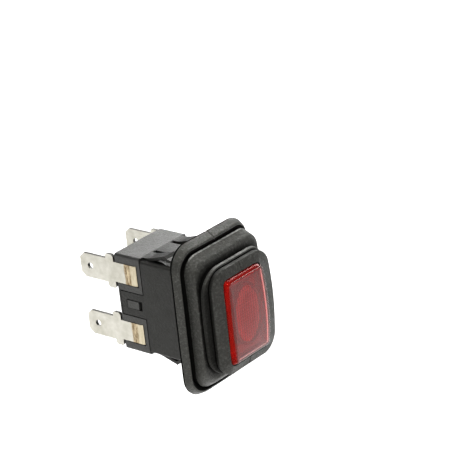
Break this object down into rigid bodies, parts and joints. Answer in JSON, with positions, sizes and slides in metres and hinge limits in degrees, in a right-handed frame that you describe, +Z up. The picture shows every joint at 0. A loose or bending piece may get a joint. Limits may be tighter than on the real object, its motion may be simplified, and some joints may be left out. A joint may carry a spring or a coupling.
{
  "type": "push-button switch",
  "caption": "Splash-proof illuminated push-on push-off panel switch with a tall red lens, black rubber boot, snap-in housing and push-on tabs.",
  "frame": {"origin": "centre of the panel seat, in the plane of the boot flange's rear rim", "axes": "-Y towards the button's face, +Y towards the push-on tabs, +Z up along the tall side of the button, +X to the right seen from the front"},
  "size_m": [0.0276, 0.0458, 0.0388],
  "materials": {
    "boot_rubber": "satin",
    "housing_plastic": "matt, fine moulded grain",
    "base_plastic": "matt, fine moulded grain",
    "lens_red": "gloss, translucent",
    "diffuser_white": "frosted, fine ribs",
    "plunger_white": "satin",
    "tab_tin": "tin plate, satin",
    "contact_silver": "polished",
    "bridge_brass": "stamped, satin",
    "spring_steel": "drawn wire, bright",
    "lamp_glass": "clear",
    "resistor_body": "lacquered",
    "lead_wire": "tinned"
  },
  "bodies": {
    "housing": {"rubber_boot": "boot_rubber", "front_housing": "housing_plastic", "rear_base": "base_plastic", "terminal_upper_left": "tab_tin", "fixed_contact_upper_left": "contact_silver", "terminal_upper_right": "tab_tin", "fixed_contact_upper_right": "contact_silver", "terminal_lower_left": "tab_tin", "fixed_contact_lower_left": "contact_silver", "terminal_lower_right": "tab_tin", "fixed_contact_lower_right": "contact_silver", "return_spring": "spring_steel", "latch_leaf": "spring_steel", "lamp_bulb": "lamp_glass", "lamp_resistor": "resistor_body", "lamp_lead_left": "lead_wire", "lamp_lead_right": "lead_wire"},
    "button": {"button_lens": "lens_red", "lens_diffuser": "diffuser_white", "plunger": "plunger_white", "contact_spring_left": "spring_steel", "contact_spring_right": "spring_steel"},
    "bridge_left": {"contact_bridge_left": "bridge_brass", "moving_contact_upper_left": "contact_silver", "moving_contact_lower_left": "contact_silver"},
    "bridge_right": {"contact_bridge_right": "bridge_brass", "moving_contact_upper_right": "contact_silver", "moving_contact_lower_right": "contact_silver"},
    "follower": {"latch_wire": "spring_steel"}
  },
  "joints": [
    {"name": "button_slide", "type": "slide", "parent": "housing", "child": "button", "axis": [0, 1, 0], "range_m": [0, 0.0026], "stiffness_N_per_m": 600, "springref_m": -0.0025, "deforming": ["rubber_boot", "return_spring"]},
    {"name": "bridge_left_slide", "type": "slide", "parent": "button", "child": "bridge_left", "axis": [0, -1, 0], "range_m": [0, 0.0009], "deforming": ["contact_spring_left"]},
    {"name": "bridge_right_slide", "type": "slide", "parent": "button", "child": "bridge_right", "axis": [0, -1, 0], "range_m": [0, 0.0009], "deforming": ["contact_spring_right"]},
    {"name": "follower_swing", "type": "hinge", "parent": "housing", "child": "follower", "pos_m": [0, 0.0155, 0.0093], "axis": [0, 0, 1], "range_deg": [0, 10.8]}
  ],
  "couplings": [
    {"joint": "bridge_left_slide", "follows": "button_slide", "ratio": 0.34615},
    {"joint": "bridge_right_slide", "follows": "button_slide", "ratio": 0.34615},
    {"joint": "follower_swing", "follows": "button_slide", "rad_per_m": 72.49}
  ]
}
